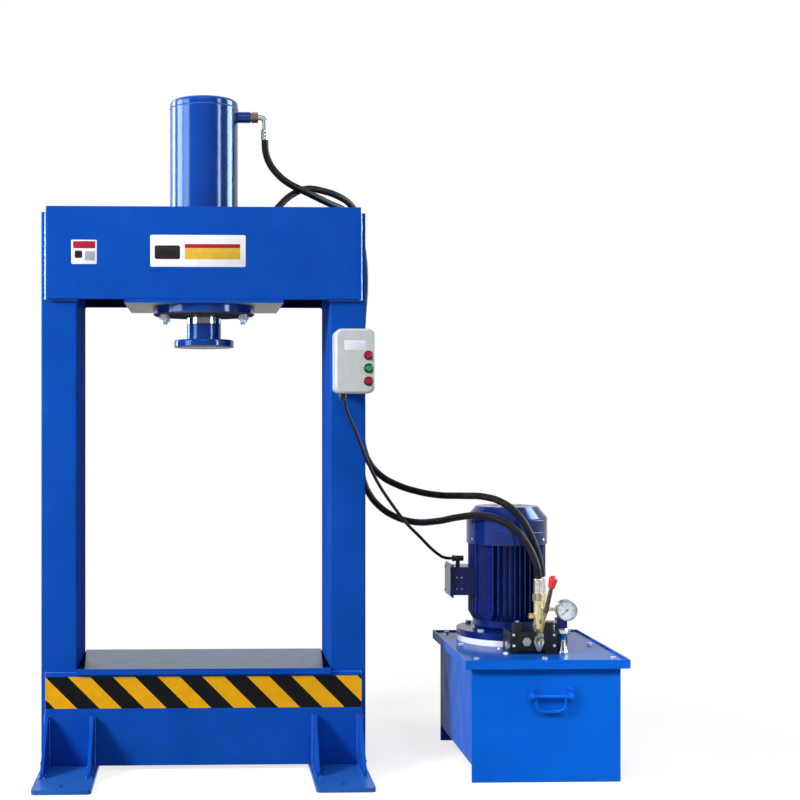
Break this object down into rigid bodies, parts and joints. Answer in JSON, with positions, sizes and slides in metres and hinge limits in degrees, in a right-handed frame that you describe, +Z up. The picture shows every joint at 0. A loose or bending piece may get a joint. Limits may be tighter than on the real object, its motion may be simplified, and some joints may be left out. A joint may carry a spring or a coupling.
{
  "type": "hydraulic press",
  "caption": "Blue portal hydraulic press with a top cylinder, bare steel table, push-button box and a separate tank, motor and valve unit joined by hoses.",
  "frame": {"origin": "on the floor under the ram axis, at the middle of the four anchor holes", "axes": "+Z up along the ram axis, +X towards the power unit, +Y from the front to the rear"},
  "size_m": [1.581, 0.814, 1.877],
  "materials": {
    "frame_blue_paint": "gloss paint",
    "unit_blue_paint": "gloss paint",
    "motor_navy_paint": "gloss paint",
    "ground_steel": "ground",
    "bare_steel": "mill finish",
    "zinc_steel": "zinc plated",
    "chrome": "polished",
    "brass": "machined",
    "black_cast_iron": "blackened",
    "lever_steel": "oxidised",
    "tape_yellow": "printed tape",
    "tape_black": "printed tape",
    "box_plastic": "moulded",
    "bezel_black": "moulded",
    "button_red": "moulded",
    "button_green": "moulded",
    "knob_red": "moulded",
    "fan_plastic": "moulded",
    "black_nylon": "moulded",
    "hose_rubber": "ribbed rubber"
  },
  "bodies": {
    "frame": {"column_left": "frame_blue_paint", "column_right": "frame_blue_paint", "beam_front_plate": "frame_blue_paint", "beam_back_plate": "frame_blue_paint", "beam_ribs": "frame_blue_paint", "cylinder_seat_plate": "bare_steel", "base_front_plate": "frame_blue_paint", "base_back_plate": "frame_blue_paint", "base_ribs": "frame_blue_paint", "table_plate": "ground_steel", "hazard_tape_yellow": "tape_yellow", "hazard_tape_black": "tape_black", "foot_plate_left": "frame_blue_paint", "foot_plate_right": "frame_blue_paint", "foot_gussets": "frame_blue_paint", "cylinder_barrel": "frame_blue_paint", "cylinder_cap": "frame_blue_paint", "cylinder_flange": "frame_blue_paint", "flange_bolts": "zinc_steel", "rod_guide": "brass", "port_fittings": "zinc_steel", "control_box": "box_plastic", "control_box_cover": "box_plastic", "button_bezels": "bezel_black", "cable_glands": "black_nylon", "tank_shell": "unit_blue_paint", "tank_lid": "unit_blue_paint", "lid_bolts": "zinc_steel", "handle_eyes": "unit_blue_paint", "motor_seat_ring": "zinc_steel", "pump_body": "bare_steel", "motor_flange": "motor_navy_paint", "motor_housing": "motor_navy_paint", "motor_fan_cover": "motor_navy_paint", "motor_bolts": "zinc_steel", "terminal_box": "motor_navy_paint", "terminal_box_cover": "motor_navy_paint", "valve_body": "black_cast_iron", "valve_trim": "zinc_steel", "hose_fittings": "brass", "relief_valve": "motor_navy_paint", "pressure_gauge": "zinc_steel", "filler_cap": "chrome", "hose_upper": "hose_rubber", "hose_lower": "hose_rubber", "motor_cable": "hose_rubber"},
    "ram": {"ram_rod": "chrome", "piston": "bare_steel", "ram_pad": "frame_blue_paint"},
    "button_top": {"button_top": "button_red"},
    "button_middle": {"button_middle": "button_green"},
    "button_bottom": {"button_bottom": "button_red"},
    "rotor": {"motor_rotor": "bare_steel", "motor_fan": "fan_plastic"},
    "lever": {"valve_lever": "lever_steel", "lever_knob": "knob_red"},
    "spool": {"valve_spool": "chrome"},
    "front_handle": {"front_handle": "unit_blue_paint"},
    "rear_handle": {"rear_handle": "unit_blue_paint"},
    "needle": {"gauge_needle": "tape_black"}
  },
  "joints": [
    {"name": "ram_stroke", "type": "slide", "parent": "frame", "child": "ram", "axis": [0, 0, -1], "range_m": [0, 0.3]},
    {"name": "button_top_press", "type": "slide", "parent": "frame", "child": "button_top", "axis": [0, 1, 0], "range_m": [0, 0.004], "stiffness_N_per_m": 800},
    {"name": "button_middle_press", "type": "slide", "parent": "frame", "child": "button_middle", "axis": [0, 1, 0], "range_m": [0, 0.004], "stiffness_N_per_m": 800},
    {"name": "button_bottom_press", "type": "slide", "parent": "frame", "child": "button_bottom", "axis": [0, 1, 0], "range_m": [0, 0.004], "stiffness_N_per_m": 800},
    {"name": "motor_spin", "type": "hinge", "parent": "frame", "child": "rotor", "pos_m": [0.881, 0.033, 0.5], "axis": [0, 0, 1], "continuous": true},
    {"name": "lever_tilt", "type": "hinge", "parent": "frame", "child": "lever", "pos_m": [0.913, -0.245, 0.378], "axis": [1, 0, 0], "range_deg": [-15, 15]},
    {"name": "spool_slide", "type": "slide", "parent": "frame", "child": "spool", "axis": [0, 1, 0], "range_m": [-0.005, 0.005]},
    {"name": "front_handle_swing", "type": "hinge", "parent": "frame", "child": "front_handle", "pos_m": [0.921, -0.333, 0.23], "axis": [-1, 0, 0], "range_deg": [0, 90]},
    {"name": "rear_handle_swing", "type": "hinge", "parent": "frame", "child": "rear_handle", "pos_m": [0.921, 0.186, 0.23], "axis": [1, 0, 0], "range_deg": [0, 90]},
    {"name": "needle_turn", "type": "hinge", "parent": "frame", "child": "needle", "pos_m": [0.994, -0.193, 0.443], "axis": [0, 1, 0], "range_deg": [0, 270], "stiffness_Nm_per_rad": 0.002}
  ],
  "couplings": [
    {"joint": "spool_slide", "follows": "lever_tilt", "m_per_rad": 0.018}
  ]
}
